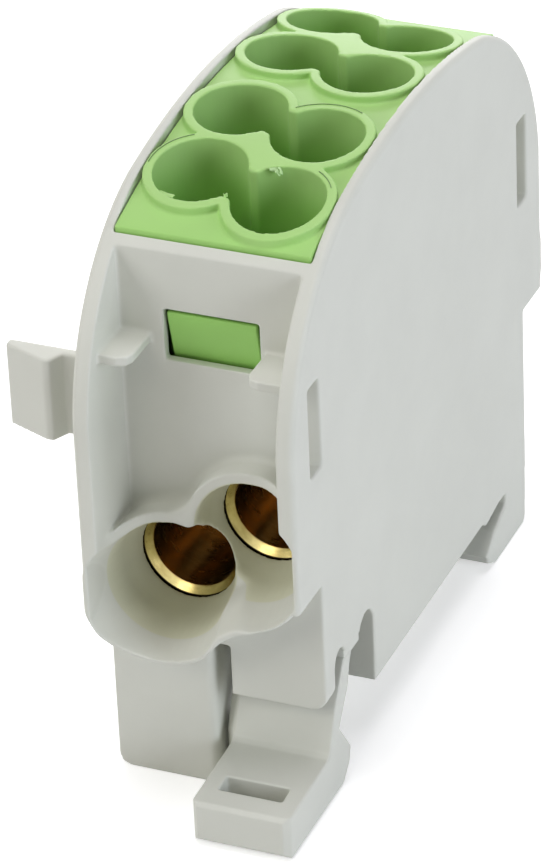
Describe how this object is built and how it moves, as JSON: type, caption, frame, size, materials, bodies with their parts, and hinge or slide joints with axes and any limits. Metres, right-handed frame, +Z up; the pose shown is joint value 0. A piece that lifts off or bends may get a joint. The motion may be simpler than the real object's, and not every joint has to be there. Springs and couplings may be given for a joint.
{
  "type": "main terminal block",
  "caption": "Slim rail-mounted main terminal block: grey moulded housing with arched top, paired wire funnels, green screw-funnel cover, brass bar and a sprung rail latch.",
  "frame": {"origin": "middle of the base underside, where the block sits on the rail", "axes": "+Z up from the rail, -Y towards the wire entries on the latch side, +X along the rail, to the right of someone facing the latch side"},
  "size_m": [0.0241, 0.0563, 0.0494],
  "materials": {
    "grey_moulding": "light warm grey, satin",
    "green_moulding": "light green, satin",
    "brass": "machined",
    "plated_steel": "zinc plated"
  },
  "bodies": {
    "block": {"housing": "grey_moulding", "screw_cover": "green_moulding", "terminal_bar": "brass"},
    "latch": {"rail_latch": "grey_moulding"},
    "screw_1": {"clamp_screw_1": "plated_steel"},
    "screw_2": {"clamp_screw_2": "plated_steel"},
    "screw_3": {"clamp_screw_3": "plated_steel"},
    "screw_4": {"clamp_screw_4": "plated_steel"},
    "screw_5": {"clamp_screw_5": "plated_steel"},
    "screw_6": {"clamp_screw_6": "plated_steel"},
    "screw_7": {"clamp_screw_7": "plated_steel"},
    "screw_8": {"clamp_screw_8": "plated_steel"}
  },
  "joints": [
    {"name": "latch_bend", "type": "hinge", "parent": "block", "child": "latch", "pos_m": [0, -0.0168, 0.0083], "axis": [-1, 0, 0], "range_deg": [0, 4.5], "stiffness_Nm_per_rad": 1.5},
    {"name": "screw_1_travel", "type": "slide", "parent": "block", "child": "screw_1", "axis": [0, 0, 1], "range_m": [-0.0049, 0]},
    {"name": "screw_2_travel", "type": "slide", "parent": "block", "child": "screw_2", "axis": [0, 0, 1], "range_m": [-0.0049, 0]},
    {"name": "screw_3_travel", "type": "slide", "parent": "block", "child": "screw_3", "axis": [0, 0, 1], "range_m": [-0.0049, 0]},
    {"name": "screw_4_travel", "type": "slide", "parent": "block", "child": "screw_4", "axis": [0, 0, 1], "range_m": [-0.0049, 0]},
    {"name": "screw_5_travel", "type": "slide", "parent": "block", "child": "screw_5", "axis": [0, 0, 1], "range_m": [-0.0049, 0]},
    {"name": "screw_6_travel", "type": "slide", "parent": "block", "child": "screw_6", "axis": [0, 0, 1], "range_m": [-0.0049, 0]},
    {"name": "screw_7_travel", "type": "slide", "parent": "block", "child": "screw_7", "axis": [0, 0, 1], "range_m": [-0.0049, 0]},
    {"name": "screw_8_travel", "type": "slide", "parent": "block", "child": "screw_8", "axis": [0, 0, 1], "range_m": [-0.0049, 0]}
  ]
}
